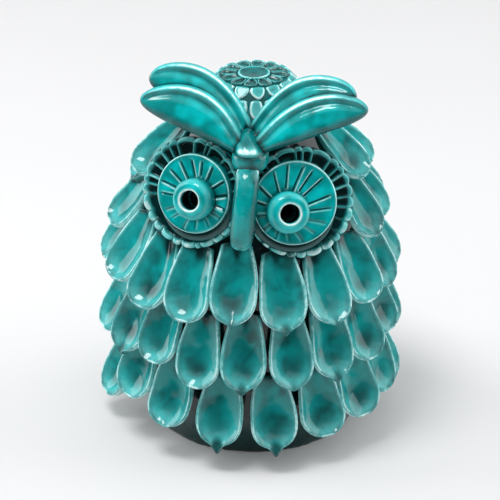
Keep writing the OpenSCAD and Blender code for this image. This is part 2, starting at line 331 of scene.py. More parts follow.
def leaf_width(u, widest, root_share, point):
    """Half width of a leaf at share u of its length, as a share of its largest."""
    if u < widest:
        return root_share + (1 - root_share) * math.sin(math.pi / 2 * u / widest)
    return max(0.0, 1 - ((u - widest) / (1 - widest)) ** 2) ** point


def leaf_ends(points):
    """The two far ends of a CAD leaf."""
    middle = points.mean(axis=0)
    _, _, axes = np.linalg.svd(points - middle)
    reach = (points - middle) @ axes[0]
    return points[reach.argmin()], points[reach.argmax()]


DRIP_HALF = 2.3 * MM
# Across a brow's front, from its upper edge: place, half width and height of the roll and of its furrow
ROLL_AT, ROLL_HALF, ROLL_HEIGHT = 2.3 * MM, 1.5 * MM, 1.5 * MM
FURROW_AT, FURROW_HALF, FURROW_DEPTH = 5.6 * MM, 1.9 * MM, 1.3 * MM


def hump(x, middle, half):
    """A smooth hump of height 1 at the middle, which fades over about its half width."""
    return math.exp(-((x - middle) / half) ** 2)


def bowl(x):
    """A spoon's profile: steep at its edge (0) and level in its middle (1)."""
    x = min(max(x, 0.0), 1.0)
    return 1 - (1 - x) ** 1.9


def leaf_glaze_and_highlight(front, room, rim, near_tip, dished, drop):
    """How thin the glaze is at a leaf's edge, which also paints a highlight along the crest and down the
    broad slope near the tip, and how deep it lies, for a point room from the edge.
    """
    past_crest = max(0.0, room - 0.6 * rim)
    crest = hump(past_crest, 0.0, 0.55 * rim)
    crest *= 0.8 + 0.2 * min(1.0, room / (0.6 * rim))
    # A broad painted highlight down the inner wall, strongest near the tip
    slope = 0.6 * math.exp(-past_crest / (2.4 * rim)) * (0.25 + 0.75 * near_tip)
    behind = 0.8 * hump(room, 0.0, 0.9 * rim)
    thin = max(crest * (0.88 + 0.12 * near_tip), slope) if front else behind
    hanging = min(1.0, drop / (1.5 * MM))
    return thin * (1 - 0.8 * hanging), max(dished if front else 0.8, 0.8 * hanging)


def roll_glaze_and_shading(front, thin, pool, below_top, top_share, w):
    """The same on a brow: thin glaze and a painted highlight along the roll, a pale rim kept to the upper
    edge, and painted shade in the furrow and under the lower edge, where light from above falls away.
    """
    # The pale rim is cut down and kept to the upper edge: painted light from above
    thin = 0.25 * thin * top_share
    if front:
        # Painted highlight along the roll, painted shade in the furrow and under the lower edge
        thin = max(thin, w * hump(below_top, 2.0 * MM, 1.1 * MM))
        pool = max(0.45 * w * hump(below_top, 5.2 * MM, 1.5 * MM),
                   0.75 * float(smooth_step(0.3, 0.0, top_share)))
    return thin, pool


def leaf_mesh(root, tip, face, width, thick, depth, seed, *, rim, belly, cup, widest, point,
              root_share=0.5, bow=0.0, curl=0.0, drip=0.0, rough=1.0, dish_share=0.36, puddle=0.3,
              puddle_from=0.5, roll_up=False, stations=36, sides=56):
    """A pressed clay leaf: a spoon-like dish with a rolled edge. Sizes are in metres.

    rim is the width of the rolled edge, belly and cup how far the back bulges and the sides curl,
    bow and curl how far the leaf bends to its side and lifts its tip, and puddle how dark the glaze
    lies in the dish beyond puddle_from of its length. roll_up makes a closed leaf with a roll along
    its upper edge instead of a dish. Gives points, faces and, for each point, how thin (edge, with
    painted highlight) and how deep (dish, with painted shade on a brow) the glaze is."""
    rng = draws(seed)
    span = tip - root
    length = np.linalg.norm(span)
    along = span / length
    across = unit(np.cross(along, unit(face)))
    out = np.cross(across, along)
    left_wave, right_wave = rng.uniform(0, 6.28, 2)
    dish_shift = rng.uniform(-0.12, 0.12)
    dish_peak = rng.uniform(0.6, 0.76)
    lean = rng.uniform(-0.5, 0.5) * MM * rough
    upwards = math.copysign(1, across[2])
    points, thin, pool = [], [], []
    turns = [2 * math.pi * k / sides for k in range(sides)]
    for step in range(1, stations):
        s = step / stations
        u = 1 - (1 - s) ** 1.7
        w = leaf_width(u, widest, root_share, point)
        half = width / 2 * w
        middle = root + along * (u * length) + across * (bow * 4 * u * (1 - u) + lean * math.sin(5 * u))
        middle = middle + out * (curl * (u * u - u))
        tip_room = (1 - u) * length * 1.15
        to_tip = float(smooth_step(0.0, 1.0, u / dish_peak)) if u < dish_peak else 1.0
        near_tip = float(smooth_step(0.5, 0.95, u))
        puddled = float(smooth_step(puddle_from, puddle_from + 0.3, u))
        for t in turns:
            c, front = math.cos(t), math.sin(t) > 0
            side_wave = math.sin(9 * u + (left_wave if c < 0 else right_wave))
            x = half * c * (1 + 0.02 * rough * side_wave)
            side_room = half * (1 - abs(c))
            room = side_room * tip_room / math.hypot(side_room, tip_room + 1e-9)
            roll = min(1.0, room / rim)
            rounding = math.sqrt(max(0.0, 1 - (1 - roll) ** 2))
            height = cup * w * (c * c - 0.5)
            inside = 0.0
            if front:
                inside = bowl((room * (1 + dish_shift * c) - 0.55 * rim) / (dish_share * width))
                height += thick / 2 * rounding - depth * (0.55 + 0.45 * to_tip) * inside
            else:
                height -= thick / 2 * rounding + belly * w * (1 - c * c)
            drop = drip * float(smooth_step(0.86, 1.0, u)) * hump(x, 0.0, DRIP_HALF)
            below_top = half * (1 - c * upwards)
            if roll_up and front:
                swell = min(1.0, room / (2.2 * rim))
                height += swell * (ROLL_HEIGHT * hump(below_top, ROLL_AT, ROLL_HALF)
                                   - FURROW_DEPTH * hump(below_top, FURROW_AT, FURROW_HALF))
            points.append(middle + across * x + out * height + np.array([0, 0, -drop]))
            dished = puddle * float(smooth_step(0.55, 1.0, inside)) * puddled
            glaze = leaf_glaze_and_highlight(front, room, rim, near_tip, dished, drop)
            if roll_up:
                glaze = roll_glaze_and_shading(front, *glaze, below_top, 0.5 + 0.5 * c * upwards, w)
            thin.append(glaze[0])
            pool.append(glaze[1])
    root_end, tip_end = len(points), len(points) + 1
    points.append(root - along * 0.2 * MM)
    points.append(root + along * length + np.array([0, 0, -drip]) - out * cup * 0.2)
    thin += [0.0, 0.6]
    pool += [0.5, 0.1]
    faces = tube_faces(stations - 1, sides)
    last_loop = (stations - 2) * sides
    for k in range(sides):
        m = (k + 1) % sides
        faces.append((root_end, m, k))
        faces.append((tip_end, last_loop + k, last_loop + m))
    points = np.array(points)
    size = max(4 * MM, 0.4 * width)
    wander = ripple(points, size, seed % 37) * 0.4 + ripple(points, size * 0.35, seed % 23) * 0.1
    points = points + out * (wander * MM * rough)[:, None]
    return points, faces, np.array(thin), np.array(pool)


def join_meshes(parts):
    """Puts several (points, faces, thin, pool) sets into one."""
    points, faces, thin, pool, start = [], [], [], [], 0
    for p, f, a, b in parts:
        points.append(p)
        faces += [tuple(i + start for i in face) for face in f]
        thin.append(a)
        pool.append(b)
        start += len(p)
    return np.vstack(points), faces, np.concatenate(thin), np.concatenate(pool)


def fit_leaf(points, face):
    """Root (the end nearer the owl's axis), tip and width of one CAD leaf from its corner points."""
    root, tip = sorted(leaf_ends(points), key=lambda end: math.hypot(end[0], end[1]))
    along = unit(tip - root)
    across = unit(np.cross(along, unit(face)))
    spread = points @ across
    return root, tip, spread.max() - spread.min()


FACE_TURN = math.radians(20)        # how far the side feathers' dishes turn to the front
FACE_RISE = 0.25                    # and how far they all look up
UNDER_FACE = 0.9                    # radians from the front, where row 3 is tucked under the eyes
ROOT_TUCK = 2.8 * MM
FEATHER_THICK = 5.0 * MM
FEATHER_SPARE = 0.6 * MM            # what the feather is wider than its CAD solid
FEATHER_RIM = 1.7 * MM
FEATHER_BELLY = 1.2 * MM
FEATHER_CURL = 3 * MM
DISH_DEPTH = (2.9, 3.6)             # least and most, in millimetres
SIDE_CURL = (1.2, 2.2)              # least and most, in millimetres
LOW_ROW_DRIPS = [0.0, 0.0, 0.8, 1.6, 3.0]       # in millimetres
HIGH_ROW_DRIPS = [0.0, 0.0, 0.8, 1.6, 0.0]
LONG_DRIP = 5.0 * MM                # on the front feathers of the lowest row
LONG_DRIP_AT, LONG_DRIP_REACH = 0.06, 0.3       # radians from the front
PUDDLES = [0.45, 0.6, 0.75, 1.0]


def feather_row(row):
    """One row of thumb-pressed feathers, each laid over its CAD solid."""
    name = f"feather_row_{row}"
    parts = []
    for i, points in enumerate(loose_parts(name)):
        low = points[points[:, 2].argmin()]
        angle = math.atan2(low[0], -low[1])
        facing = angle - FACE_TURN * math.sin(angle)
        face = np.array([math.sin(facing), -math.cos(facing), FACE_RISE])
        root, tip, width = fit_leaf(points, face)
        if row == 3 and abs(angle) < UNDER_FACE:
            root = root + unit(root - tip) * ROOT_TUCK
        rng = draws(1000 * row + i)
        drip = rng.choice(LOW_ROW_DRIPS if row < 4 else HIGH_ROW_DRIPS) * MM
        if row == 1 and abs(angle - LONG_DRIP_AT) < LONG_DRIP_REACH:
            drip = LONG_DRIP
        depth = rng.uniform(*DISH_DEPTH) * MM
        cup = rng.uniform(*SIDE_CURL) * MM
        puddle = rng.choice(PUDDLES)
        parts.append(leaf_mesh(root, tip, face, width + FEATHER_SPARE, FEATHER_THICK, depth, 100 * row + i,
                               curl=FEATHER_CURL, cup=cup, rim=FEATHER_RIM, belly=FEATHER_BELLY, drip=drip,
                               root_share=0.62, widest=0.7, point=0.46, puddle=puddle))
    points, faces, thin, pool = join_meshes(parts)
    low, high = (np.array(corner[:2]) for corner in CAD_BOX)
    room_low = (low / points.min(axis=0)[:2]).min()
    room_high = (high / points.max(axis=0)[:2]).min()
    points[:, :2] *= min(1.0, room_low, room_high)
    obj = add_piece(f"feathers_{row}", points, faces, GLAZE, [name])
    set_values(obj, thin=thin, pool=pool)


BROW_THICK = 6.4 * MM
BROWS = {
    "brow_lower_left": dict(face=(-0.1, -0.87, 0.48), bow=5.6, widest=0.52, point=0.5, rim=2.4, cup=-2.4),
    "brow_lower_right": dict(face=(0.1, -0.88, 0.48), bow=-5.4, widest=0.56, point=0.5, rim=2.4, cup=-2.4),
    "brow_upper_left": dict(face=(-0.1, -0.82, 0.56), bow=6.2, widest=0.6, point=0.42, rim=2.8, cup=-1.8),
    "brow_upper_right": dict(face=(0.1, -0.82, 0.56), bow=-6.6, widest=0.6, point=0.45, rim=2.8, cup=-1.8),
}


def brow(name, seed):
    """A long closed leaf that runs from the bridge out over one eye."""
    spec = BROWS[name]
    points = loose_parts(name)[0]
    side = -1 if "left" in name else 1
    root = points[(side * points[:, 0]).argmin()]
    tip = points[(side * points[:, 0]).argmax()]
    along = unit(tip - root)
    across = unit(np.cross(along, unit(spec["face"])))
    spread = (points - root) @ across
    bow = spec["bow"] * MM
    width = spread.max() - spread.min() - 0.35 * abs(bow)
    points, faces, thin, pool = leaf_mesh(
        root, tip, spec["face"], width, BROW_THICK, 0.0, seed, bow=bow, curl=2 * MM,
        widest=spec["widest"], root_share=0.4, point=spec["point"], rim=spec["rim"] * MM,
        belly=1.0 * MM, cup=spec["cup"] * MM, rough=0.7, roll_up=True, stations=60, sides=80)
    obj = add_piece("leaf_" + name, points, faces, GLAZE_PAINTED_LIT, [name])
    set_values(obj, thin=thin, pool=pool)


def petals(name, thick, depth, rim, face_of, seed, puddle=0.3, pale=0.0, **shape):
    """One ring of the crown's petals; pale is the least share of thin glaze on them, which paints a pale
    highlight over the whole petal.
    """
    parts = []
    for i, points in enumerate(loose_parts(name)):
        middle = points.mean(axis=0)
        face = face_of(unit([middle[0], middle[1], 0]))
        root, tip, width = fit_leaf(points, face)
        parts.append(leaf_mesh(root, tip, face, width, thick * MM, depth * MM, seed + i, rim=rim * MM,
                               stations=18, sides=28, rough=0.3, puddle=puddle, puddle_from=-0.3,
                               **shape))
    points, faces, thin, pool = join_meshes(parts)
    obj = add_piece("petals_" + name, points, faces, GLAZE, [name])
    set_values(obj, thin=np.maximum(thin, pale), pool=pool)


# ---------------------------------------------------------------- lumps: eyes, beak, body

def curvature(mesh, rounds):
    """How strongly the surface bulges (+) or sinks (-) at each point, in 1/m, evened out."""
    count = len(mesh.vertices)
    points = read_points(mesh)
    normals = read_vectors(mesh, "normal")
    edges = np.zeros(len(mesh.edges) * 2, np.int64)
    mesh.edges.foreach_get("vertices", edges)
    a, b = edges.reshape(-1, 2).T
    degree = np.bincount(np.r_[a, b], minlength=count).clip(1)

    def around(values):
        total = np.zeros_like(values)
        np.add.at(total, a, values[b])
        np.add.at(total, b, values[a])
        return total / (degree[:, None] if values.ndim == 2 else degree)

    gap = np.linalg.norm(points[a] - points[b], axis=1)
    size = np.zeros(count)
    np.add.at(size, a, gap ** 2)
    np.add.at(size, b, gap ** 2)
    size /= degree
    bulge = -np.einsum("ij,ij->i", around(points) - points, normals) / size.clip(1e-12)
    for _ in range(rounds):
        bulge = 0.5 * bulge + 0.5 * around(bulge)
    return bulge * 2


def remeshed(name, voxel, smooth_rounds, subdivide):
    """A copy of a CAD node's mesh with even facets and softened edges, as a new mesh."""
    points, tris = welded(NODES[name])
    mesh = bpy.data.meshes.new("work")
    mesh.from_pydata([tuple(p) for p in points], [], [tuple(int(i) for i in t) for t in tris])
    obj = bpy.data.objects.new("work", mesh)
    bpy.context.scene.collection.objects.link(obj)
    if subdivide:
        b = bmesh.new()
        b.from_mesh(mesh)
        bmesh.ops.join_triangles(b, faces=b.faces[:], angle_face_threshold=0.6,
                                 angle_shape_threshold=3.1)
        b.to_mesh(mesh)
        b.free()
        sub = obj.modifiers.new("round", "SUBSURF")
        sub.levels = subdivide
    even = obj.modifiers.new("even", "REMESH")
    even.mode = "VOXEL"
    even.voxel_size = voxel
    soft = obj.modifiers.new("soft", "SMOOTH")
    soft.factor = 0.5
    soft.iterations = smooth_rounds
    bpy.context.view_layer.update()
    done = bpy.data.meshes.new_from_object(obj.evaluated_get(bpy.context.evaluated_depsgraph_get()))
    bpy.data.objects.remove(obj)
    return done


def lump(piece, name, material, *, voxel, smooth_rounds, seed, subdivide=0, wobble=0.15,
         body="bank", bright=(350, 900), deep=None):
    """A hand-worked lump: the CAD shape with soft edges, small unevenness and the glaze's thickness.

    voxel and wobble are in millimetres, bright is the curvature (1/m) at which the glaze starts and
    ends thinning, and deep gives the least share of pooled glaze and painted shade at each point."""
    mesh = remeshed(name, voxel * MM, smooth_rounds, subdivide)
    points = read_points(mesh)
    normals = read_vectors(mesh, "normal")
    offset = ripple(points, 0.009, seed) * wobble * MM
    offset += ripple(points, 0.0035, seed + 5) * 0.35 * wobble * MM
    points = points + normals * offset[:, None]
    low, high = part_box(name)
    points = np.clip(points, np.array(low), np.array(high))
    mesh.vertices.foreach_set("co", points.ravel())
    mesh.update()
    mesh.polygons.foreach_set("use_smooth", [True] * len(mesh.polygons))
    bulge = curvature(mesh, 3)
    mesh.name = piece
    obj = bpy.data.objects.new(piece, mesh)
    bpy.context.scene.collection.objects.link(obj)
    mesh.materials.clear()
    mesh.materials.append(material)
    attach(obj, body)
    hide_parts(name)
    pool = smooth_step(150, 600, -bulge)
    if deep is not None:
        pool = np.maximum(pool, deep(points))
    set_values(obj, thin=smooth_step(*bright, bulge), pool=pool)


# ---------------------------------------------------------------- eyes

SOCKET_OUT, SOCKET_DROP, SOCKET_BACK = 3.4 * MM, 1.6 * MM, 8 * MM
DISC_IN, DISC_DROP = 0.4 * MM, 4.2 * MM
HOLE_R = 4.8 * MM
CELLS = 26
WALL_HALF = 0.9 * MM
GROOVES = 16
GROOVE_DEPTH = 1.25 * MM
BURR_HEIGHT = 0.18 * MM
EYE_GAP = 0.1 * MM                  # half the gap between the two rims where they meet
EYES_MEET_AT = 0.8 * MM             # how far that is to the right of the middle


class Eye:
    """Where one eye is: the front plane of its plate, and the middles and radii of plate, pupil and rim."""

    def __init__(self, side):
        self.side = side
        self.sign = -1 if side == "left" else 1
        points, tris = welded(NODES[f"iris_{side}"])
        corner = points[tris]
        cross = np.cross(corner[:, 1] - corner[:, 0], corner[:, 2] - corner[:, 0])
        area = np.linalg.norm(cross, axis=1)
        facing = np.where(cross[:, 1] < 0, area, 0.0)
        best = cross[facing.argmax()] / area[facing.argmax()]
        same = (cross @ best) > 0.995 * area
        self.n = unit(cross[same].sum(axis=0))
        self.x = unit(np.cross([0, 0, 1.0], self.n))
        self.y = np.cross(self.n, self.x)
        self.front = (points @ self.n).max()
        self.middle, self.r = self.circle(points)
        pupil, _ = welded(NODES[f"pupil_{side}"])
        self.pupil, self.pupil_r = self.circle(pupil)
        self.proud = (pupil @ self.n).max() - self.front
        self.socket = self.middle + np.array([self.sign * SOCKET_OUT, -SOCKET_DROP])
        ring, _ = welded(NODES[f"socket_rim_{side}"])
        from_socket = np.stack([ring @ self.x, ring @ self.y], axis=1) - self.socket
        self.socket_r = np.hypot(*from_socket.T).max()

    def circle(self, points):
        flat = np.stack([points @ self.x, points @ self.y], axis=1)
        low, high = flat.min(axis=0), flat.max(axis=0)
        return (low + high) / 2, (high - low).mean() / 2

    def place(self, flat, height):
        return flat[:, :1] * self.x + flat[:, 1:] * self.y + (self.front + height)[:, None] * self.n


def ring_piece(name, eye, rings, heights, material, replaces, thin, pool):
    """A closed ring from stacked loops of points; rings is loops x steps x 2, heights loops x steps."""
    loops, steps = heights.shape
    points = eye.place(rings.reshape(-1, 2), heights.reshape(-1))
    faces = []
    for a in range(loops):
        b = (a + 1) % loops
        for k in range(steps):
            m = (k + 1) % steps
            faces.append((a * steps + k, b * steps + k, b * steps + m, a * steps + m))
    obj = add_piece(name, points, faces, material, replaces)
    set_values(obj, thin=thin.reshape(-1), pool=pool.reshape(-1))
    return obj


def plate(eye, seed):
    """The striped plate: grooves cut from the pupil outwards, and a rounded bright edge."""
    rng = draws(seed)
    steps = GROOVES * 28
    t, ray = round_about(steps)
    inner = eye.pupil + HOLE_R * ray
    outer = eye.middle + eye.r * ray
    shares = np.concatenate([np.linspace(0, 0.9, 27), [0.93, 0.955, 0.975, 0.99, 1.0, 1.0, 1.0, 0.97, 0.0]])
    drops = np.concatenate([np.zeros(27), [0.03, 0.12, 0.32, 0.65, 1.2, 2.6, 4.0, 4.5, 4.5]]) * MM
    rings = inner[None] + shares[:, None, None] * (outer - inner)[None]
    heights = -each_step(drops, steps)
    from_pupil = np.linalg.norm(rings - eye.pupil, axis=2)
    cut = np.zeros_like(heights)
    burr = np.zeros_like(heights)
    for k in range(GROOVES):
        angle = (k + 0.5 + rng.uniform(-0.16, 0.16)) * 2 * math.pi / GROOVES
        bend = rng.uniform(-0.06, 0.06)
        start = eye.pupil_r + rng.uniform(-1.5, 0.6) * MM
        end = rng.uniform(0.86, 0.97)
        off = (t[None] - angle - bend * shares[:, None] + math.pi) % (2 * math.pi) - math.pi
        away = np.abs(off) * from_pupil
        run = smooth_step(start - 0.4 * MM, start + 0.8 * MM, from_pupil)
        run = run * (1 - smooth_step(end - 0.12, end, shares))[:, None]
        fade = 0.35 + 0.65 * float(smooth_step(-0.7, 0.2, math.sin(angle)))
        half = rng.uniform(0.75, 1.0) * MM
        cut = np.maximum(cut, run * fade * (1 - away / half).clip(0))
        edge_off = off * from_pupil * rng.choice([-1, 1])
        burr = np.maximum(burr, run * fade * np.exp(-((edge_off - 1.25 * half) / (0.45 * half)) ** 2))
    top = np.arange(len(shares))[:, None] < 31
    heights = heights - cut * GROOVE_DEPTH * top + burr * BURR_HEIGHT * top
    heights[:27] += 0.35 * MM * np.sin(3 * t + seed)[None] * shares[:27, None] * 0.6
    lip = np.exp(-((shares - 0.975) / 0.018) ** 2)[:, None]
    # Pale thin glaze along the burrs and the lip, which also paints their highlights
    thin = np.maximum(burr * 0.9, lip * np.ones(steps)) * top
    pool = np.clip(cut * 1.2, 0, 1) * 0.85 * top
    # Painted shade round the foot of the raised bead and on the plate's turned-under edge, with glaze
    # pooled there too
    near = 1 - smooth_step(eye.pupil_r, eye.pupil_r + 2.2 * MM, from_pupil)
    pool = np.maximum(pool, 0.5 * near)
    pool[-5:] = 0.5
    ring_piece(f"plate_{eye.side}", eye, rings[::-1], heights[::-1], GLAZE_PAINTED_LIT,
               [f"iris_{eye.side}"], thin[::-1], pool[::-1])


def bead(eye, seed):
    """The pierced pupil, a collar with soft shoulders and a thin lip round its hole."""
    steps = 96
    t, ray = round_about(steps)
    edge, top = eye.pupil_r / MM, eye.proud / MM
    # Each loop: radius, height, share of thin glaze (with a painted highlight round the lip), share of
    # pooled glaze (with painted shade down the hole and at the foot of the collar)
    profile = np.array([
        (4.8, 0.0, 0.0, 1.0), (4.8, top - 3.0, 0.0, 1.0), (4.82, top - 1.6, 0.1, 0.8),
        (4.95, top - 0.9, 0.6, 0.1), (5.2, top - 0.35, 1.0, 0.0), (5.6, top - 0.08, 1.0, 0.0),
        (6.0, top - 0.12, 0.6, 0.0), (6.5, top - 0.3, 0.15, 0.1), (7.2, top - 0.32, 0.0, 0.0),
        (8.0, top - 0.5, 0.0, 0.0), (8.8, top - 0.95, 0.15, 0.0), (9.5, top - 1.7, 0.35, 0.0),
        (edge - 0.5, top - 2.7, 0.25, 0.0), (edge - 0.12, top - 3.9, 0.1, 0.05),
        (edge, top - 5.2, 0.0, 0.2), (edge - 0.05, 2.2, 0.0, 0.35),
        (edge - 0.02, 1.0, 0.0, 0.7), (edge, 0.0, 0.0, 1.0),
    ])
    wobble = 1 + 0.012 * np.sin(2 * t + seed) + 0.006 * np.sin(5 * t + 2 * seed)
    inside = np.minimum(wobble, 1.0)[None, :, None]
    rings = eye.pupil + profile[:, 0][:, None, None] * MM * ray[None] * inside
    heights = each_step(profile[:, 1], steps) * MM
    heights = heights + (profile[:, 1] / top)[:, None] * 0.12 * MM * np.sin(2 * t + seed)[None]
    thin = each_step(profile[:, 2], steps)
    pool = each_step(profile[:, 3], steps)
    ring_piece(f"bead_{eye.side}", eye, rings[::-1], heights[::-1], GLAZE_PAINTED_LIT,
               [f"pupil_{eye.side}"], thin[::-1], pool[::-1])


def rim_cells(rng, t):
    """The cells of a rim: at each angle, how far off and how tall the nearest wall is, and how far
    the scallop between its two walls bulges (0 to 1)."""
    walls = (np.arange(CELLS) + rng.uniform(-0.34, 0.34, CELLS)) * 2 * math.pi / CELLS
    off = np.abs((t[None] - walls[:, None] + math.pi) % (2 * math.pi) - math.pi)
    wall_height = rng.uniform(2.0, 2.7, CELLS)[off.argmin(axis=0)] * MM
    cell = np.searchsorted(walls, t, side="right") - 1
    cell_width = (np.roll(walls, -1)[cell] - walls[cell]) % (2 * math.pi)
    scallop = np.sin(math.pi * ((t - walls[cell]) % (2 * math.pi)) / cell_width).clip(0, 1) ** 0.7
    return off.min(axis=0), wall_height, scallop


def socket_ring(eye, seed):
    """The raised edge of a socket and the thin walls that divide the ring into dark cells."""
    steps = CELLS * 24
    t, ray = round_about(steps)
    edge = eye.socket_r
    from_edge = np.array([2.7, 2.3, 1.95, 1.6, 1.25, 0.9, 0.6, 0.35, 0.15, 0.03, 0.0, 0.2]) * MM
    radii = np.concatenate([np.linspace(14 * MM, edge - 3.2 * MM, 14), edge - from_edge])
    gap, wall_height, scallop = rim_cells(draws(seed), t)
    upper = smooth_step(-0.5, 0.25, np.sin(t))
    lower = 1 - upper
    side_height = (2.3 - 0.5 * lower + (1.1 + 0.4 * lower) * scallop + 0.25 * np.sin(3 * t + seed)) * MM
    away = gap[None] * radii[:, None]
    ridge = wall_height[None] * np.sqrt((1 - (away / WALL_HALF) ** 2).clip(0))
    ridge = ridge * (0.3 + 0.7 * upper)[None]
    crest_at = edge - (2.3 - 1.1 * scallop) * MM
    ridge = ridge * (1 - smooth_step(-0.6 * MM, 0.5 * MM, radii[:, None] - crest_at[None]))
    from_crest = np.abs(radii[:, None] - crest_at[None]) / ((1.3 + 0.5 * lower) * MM)[None]
    crest = side_height[None] * np.sqrt((1 - from_crest ** 2).clip(0))
    floor = (0.2 + 0.5 * lower) * MM
    heights = np.maximum(np.maximum(ridge, crest), floor[None])
    heights[-2:] = np.minimum(heights[-2:], 0.6 * MM)
    heights[-1] = -0.5 * MM
    closing = np.full((1, steps), -0.5 * MM)
    # Crests pale with thin glaze and painted highlight, more on the beads of the lower half; cell floors
    # dark with pooled glaze and painted shade; painted shade between the lower beads
    relief = heights / (2.6 * MM)
    crest_patches = smooth_step(-0.3, 0.3, ripple(eye.place(eye.socket + ray * edge, 0 * t), 0.004, seed))
    thin = smooth_step(0.5, 0.9, relief) * (0.4 + 0.2 * crest_patches + 0.2 * lower)[None]
    pool = (1 - smooth_step(0.2, 0.7, relief)) * (0.6 + 0.25 * upper)[None]
    between = lower * (1 - smooth_step(0.05, 0.3, scallop))
    pool = np.maximum(pool, 0.85 * between)
    thin = thin * (1 - between)
    reach = radii[:, None] * (1 + 0.055 * np.sin(t).clip(0))[None]
    rings = eye.socket + reach[:, :, None] * ray[None]
    rings = np.concatenate([rings, rings[:1]])
    heights = np.concatenate([heights, closing]) - SOCKET_BACK
    thin = np.concatenate([thin, thin[:1] * 0])
    pool = np.concatenate([pool, pool[:1] * 0 + 0.8])
    obj = ring_piece(f"rim_{eye.side}", eye, rings[::-1], heights[::-1], GLAZE,
                     [f"socket_rim_{eye.side}"], thin[::-1], pool[::-1])
    points = read_points(obj.data)
    meeting = EYES_MEET_AT + EYE_GAP * eye.sign
    keep_side = np.maximum if eye.sign > 0 else np.minimum
    points[:, 0] = keep_side(points[:, 0], meeting)
    obj.data.vertices.foreach_set("co", points.ravel())
    obj.data.update()


def lower_disc(eye, seed):
    """The slumped disc under the plate, which shows as a step below it."""
    steps = 120
    t, ray = round_about(steps)
    edge = eye.r / MM + 0.4
    profile = np.array([(8, -8.5), (8, -5.2), (edge - 6, -3.9), (edge - 3, -3.7), (edge - 1.2, -3.9),
                        (edge - 0.3, -4.6), (edge, -5.6), (edge, -8.5)])
    middle = eye.middle + np.array([-eye.sign * DISC_IN, -DISC_DROP])
    wobble = 1 + 0.008 * np.sin(3 * t + seed)
    rings = middle + profile[:, 0][:, None, None] * MM * ray[None] * wobble[None, :, None]
    heights = each_step(profile[:, 1], steps) * MM
    # Pale thin glaze along the rounded edge; painted shade under the plate, and darker down the outer side
    thin = each_step([0, 0, 0, 0.1, 0.5, 0.35, 0.1, 0], steps)
    pool = each_step([1, 1, 0.5, 0.2, 0.1, 0.2, 0.6, 1], steps)
    ring_piece(f"step_{eye.side}", eye, rings[::-1], heights[::-1], GLAZE,
               [f"eye_socket_{eye.side}"], thin[::-1], pool[::-1])


def knob():
    """The cone between the brows: a narrow stem, a round bulb and the block that carries the beak."""
    # Each row: middle x, height, half width, front y, share of pooled glaze and painted shade (darkest in
    # the crease under the bulb and under the block)
    profile = np.array([
        (2.0, 178.2, 0.3, 50.0, 0.1), (2.0, 178.0, 1.4, 51.0, 0.2), (2.1, 177.2, 2.6, 53.0, 0.2),
        (2.3, 176.0, 3.6, 55.0, 0.2), (2.6, 174.8, 4.6, 57.0, 0.1), (2.9, 173.6, 5.6, 58.8, 0.0),
        (3.2, 172.4, 6.4, 60.2, 0.0), (3.4, 171.2, 6.9, 60.9, 0.0), (3.6, 170.2, 7.0, 60.8, 0.3),
        (3.7, 169.4, 7.4, 60.0, 0.7), (3.8, 168.6, 8.2, 59.6, 0.4), (3.8, 167.6, 8.9, 59.7, 0.1),
        (3.8, 166.0, 9.1, 59.9, 0.0), (3.8, 163.5, 8.9, 60.0, 0.0), (3.8, 161.8, 8.4, 59.5, 0.1),
        (3.8, 160.9, 7.0, 58.4, 0.8), (3.8, 160.6, 0.3, 50.0, 1.0),
    ])
    back, steps, bulb_height = 37.5, 64, 172.4
    rows = np.linspace(0, len(profile) - 1, 5 * len(profile))
    x, z, half, front, dark = (np.interp(rows, np.arange(len(profile)), column) for column in profile.T)
    for _ in range(3):
        half[1:-1] = 0.5 * half[1:-1] + 0.25 * (half[:-2] + half[2:])
        front[1:-1] = 0.5 * front[1:-1] + 0.25 * (front[:-2] + front[2:])
    _, ray = round_about(steps)
    wide, deep = (np.sign(ray) * np.abs(ray) ** 0.85).T
    points = np.stack([x[:, None] + half[:, None] * wide,
                       -(front + back)[:, None] / 2 + (front - back)[:, None] / 2 * deep,
                       each_step(z, steps)], axis=2).reshape(-1, 3) * MM
    faces = tube_faces(len(rows), steps)
    faces += [tuple(range(steps))[::-1], tuple(range((len(rows) - 1) * steps, len(rows) * steps))]
    obj = add_piece("bridge", points, faces, GLAZE, ["beak_bridge"])
    # A painted highlight on the bulb's upper front, made as pale thin glaze
    bulb = np.exp(-((z - bulb_height) / 1.5) ** 2)[:, None] * smooth_step(0.6, 0.9, -deep)[None]
    set_values(obj, thin=0.95 * bulb.reshape(-1), pool=np.repeat(dark, steps))


# ---------------------------------------------------------------- the owl

def pot_glaze_and_shade(points):
    """Painted shade on the body between and behind the feathers, where the glaze also lies thick: darkest
    inside the feathers' reach, and the glaze thinner and a little less dark down at the foot.
    """
    radius = np.hypot(points[:, 0], points[:, 1])
    wall = np.interp(points[:, 2], np.array([0, 30, 55, 110, 154, 182, 189]) * MM,
                     np.array([50.5, 56.5, 58.5, 53.5, 39, 15, 0]) * MM)
    return np.where(radius < wall, 1.0, 0.92 + 0.08 * smooth_step(14 * MM, 34 * MM, points[:, 2]))


def beak_side_shade(points):
    """Painted shade down both sides of the beak, where its roll turns away from the light; the beak leans a
    little to the right.
    """
    lean, foot = 0.064, 107 * MM
    from_crest = np.abs(points[:, 0] - lean * (points[:, 2] - foot))
    return 0.65 * smooth_step(2.8 * MM, 5.6 * MM, from_crest)


def button_depth(points):
    """Glaze lies in the button's dish, inside its raised edge."""
    return 0.6 * (1 - smooth_step(6.2 * MM, 7.0 * MM, np.hypot(points[:, 0], points[:, 1])))


